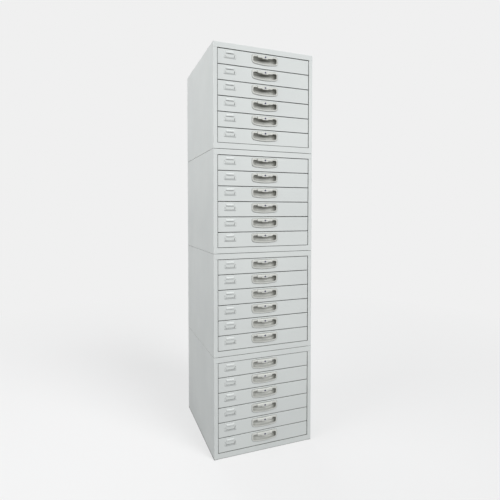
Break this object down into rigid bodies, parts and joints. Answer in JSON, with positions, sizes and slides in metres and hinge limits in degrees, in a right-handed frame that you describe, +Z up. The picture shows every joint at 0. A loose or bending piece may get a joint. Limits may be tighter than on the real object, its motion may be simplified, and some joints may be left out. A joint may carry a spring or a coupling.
{
  "type": "flat file cabinet",
  "caption": "Tall flat file tower of stacked steel units with shallow slide-out drawers, recessed pulls and pressed label holders.",
  "frame": {"origin": "middle of the bottom unit's underside, midway between the casing's front and back faces, on the floor", "axes": "+Z up, -Y out of the drawer fronts, +X to the right as one faces the drawers"},
  "size_m": [0.42, 0.4673, 1.595],
  "materials": {
    "painted_casing": "light grey semi-matt powder coat",
    "painted_steel": "light grey semi-matt powder coat",
    "satin_zinc": "satin die-cast zinc",
    "galvanised_steel": "galvanised",
    "plated_steel": "zinc plated",
    "rivet_aluminium": "plain",
    "black_rubber": "matt"
  },
  "bodies": {
    "cabinet": {"unit_1_casing": "painted_casing", "unit_1_runners": "galvanised_steel", "unit_2_casing": "painted_casing", "unit_2_runners": "galvanised_steel", "unit_3_casing": "painted_casing", "unit_3_runners": "galvanised_steel", "unit_4_casing": "painted_casing", "unit_4_runners": "galvanised_steel", "stacking_bolts": "plated_steel", "back_panel_rivets": "rivet_aluminium", "drawer_buffers": "black_rubber"},
    "drawer_body_01": {"drawer_01": "painted_steel", "pull_01": "satin_zinc"},
    "drawer_body_02": {"drawer_02": "painted_steel", "pull_02": "satin_zinc"},
    "drawer_body_03": {"drawer_03": "painted_steel", "pull_03": "satin_zinc"},
    "drawer_body_04": {"drawer_04": "painted_steel", "pull_04": "satin_zinc"},
    "drawer_body_05": {"drawer_05": "painted_steel", "pull_05": "satin_zinc"},
    "drawer_body_06": {"drawer_06": "painted_steel", "pull_06": "satin_zinc"},
    "drawer_body_07": {"drawer_07": "painted_steel", "pull_07": "satin_zinc"},
    "drawer_body_08": {"drawer_08": "painted_steel", "pull_08": "satin_zinc"},
    "drawer_body_09": {"drawer_09": "painted_steel", "pull_09": "satin_zinc"},
    "drawer_body_10": {"drawer_10": "painted_steel", "pull_10": "satin_zinc"},
    "drawer_body_11": {"drawer_11": "painted_steel", "pull_11": "satin_zinc"},
    "drawer_body_12": {"drawer_12": "painted_steel", "pull_12": "satin_zinc"},
    "drawer_body_13": {"drawer_13": "painted_steel", "pull_13": "satin_zinc"},
    "drawer_body_14": {"drawer_14": "painted_steel", "pull_14": "satin_zinc"},
    "drawer_body_15": {"drawer_15": "painted_steel", "pull_15": "satin_zinc"},
    "drawer_body_16": {"drawer_16": "painted_steel", "pull_16": "satin_zinc"},
    "drawer_body_17": {"drawer_17": "painted_steel", "pull_17": "satin_zinc"},
    "drawer_body_18": {"drawer_18": "painted_steel", "pull_18": "satin_zinc"},
    "drawer_body_19": {"drawer_19": "painted_steel", "pull_19": "satin_zinc"},
    "drawer_body_20": {"drawer_20": "painted_steel", "pull_20": "satin_zinc"},
    "drawer_body_21": {"drawer_21": "painted_steel", "pull_21": "satin_zinc"},
    "drawer_body_22": {"drawer_22": "painted_steel", "pull_22": "satin_zinc"},
    "drawer_body_23": {"drawer_23": "painted_steel", "pull_23": "satin_zinc"},
    "drawer_body_24": {"drawer_24": "painted_steel", "pull_24": "satin_zinc"}
  },
  "joints": [
    {"name": "drawer_01_slide", "type": "slide", "parent": "cabinet", "child": "drawer_body_01", "axis": [0, -1, 0], "range_m": [0, 0.34]},
    {"name": "drawer_02_slide", "type": "slide", "parent": "cabinet", "child": "drawer_body_02", "axis": [0, -1, 0], "range_m": [0, 0.34]},
    {"name": "drawer_03_slide", "type": "slide", "parent": "cabinet", "child": "drawer_body_03", "axis": [0, -1, 0], "range_m": [0, 0.34]},
    {"name": "drawer_04_slide", "type": "slide", "parent": "cabinet", "child": "drawer_body_04", "axis": [0, -1, 0], "range_m": [0, 0.34]},
    {"name": "drawer_05_slide", "type": "slide", "parent": "cabinet", "child": "drawer_body_05", "axis": [0, -1, 0], "range_m": [0, 0.34]},
    {"name": "drawer_06_slide", "type": "slide", "parent": "cabinet", "child": "drawer_body_06", "axis": [0, -1, 0], "range_m": [0, 0.34]},
    {"name": "drawer_07_slide", "type": "slide", "parent": "cabinet", "child": "drawer_body_07", "axis": [0, -1, 0], "range_m": [0, 0.34]},
    {"name": "drawer_08_slide", "type": "slide", "parent": "cabinet", "child": "drawer_body_08", "axis": [0, -1, 0], "range_m": [0, 0.34]},
    {"name": "drawer_09_slide", "type": "slide", "parent": "cabinet", "child": "drawer_body_09", "axis": [0, -1, 0], "range_m": [0, 0.34]},
    {"name": "drawer_10_slide", "type": "slide", "parent": "cabinet", "child": "drawer_body_10", "axis": [0, -1, 0], "range_m": [0, 0.34]},
    {"name": "drawer_11_slide", "type": "slide", "parent": "cabinet", "child": "drawer_body_11", "axis": [0, -1, 0], "range_m": [0, 0.34]},
    {"name": "drawer_12_slide", "type": "slide", "parent": "cabinet", "child": "drawer_body_12", "axis": [0, -1, 0], "range_m": [0, 0.34]},
    {"name": "drawer_13_slide", "type": "slide", "parent": "cabinet", "child": "drawer_body_13", "axis": [0, -1, 0], "range_m": [0, 0.34]},
    {"name": "drawer_14_slide", "type": "slide", "parent": "cabinet", "child": "drawer_body_14", "axis": [0, -1, 0], "range_m": [0, 0.34]},
    {"name": "drawer_15_slide", "type": "slide", "parent": "cabinet", "child": "drawer_body_15", "axis": [0, -1, 0], "range_m": [0, 0.34]},
    {"name": "drawer_16_slide", "type": "slide", "parent": "cabinet", "child": "drawer_body_16", "axis": [0, -1, 0], "range_m": [0, 0.34]},
    {"name": "drawer_17_slide", "type": "slide", "parent": "cabinet", "child": "drawer_body_17", "axis": [0, -1, 0], "range_m": [0, 0.34]},
    {"name": "drawer_18_slide", "type": "slide", "parent": "cabinet", "child": "drawer_body_18", "axis": [0, -1, 0], "range_m": [0, 0.34]},
    {"name": "drawer_19_slide", "type": "slide", "parent": "cabinet", "child": "drawer_body_19", "axis": [0, -1, 0], "range_m": [0, 0.34]},
    {"name": "drawer_20_slide", "type": "slide", "parent": "cabinet", "child": "drawer_body_20", "axis": [0, -1, 0], "range_m": [0, 0.34]},
    {"name": "drawer_21_slide", "type": "slide", "parent": "cabinet", "child": "drawer_body_21", "axis": [0, -1, 0], "range_m": [0, 0.34]},
    {"name": "drawer_22_slide", "type": "slide", "parent": "cabinet", "child": "drawer_body_22", "axis": [0, -1, 0], "range_m": [0, 0.34]},
    {"name": "drawer_23_slide", "type": "slide", "parent": "cabinet", "child": "drawer_body_23", "axis": [0, -1, 0], "range_m": [0, 0.34]},
    {"name": "drawer_24_slide", "type": "slide", "parent": "cabinet", "child": "drawer_body_24", "axis": [0, -1, 0], "range_m": [0, 0.34]}
  ]
}
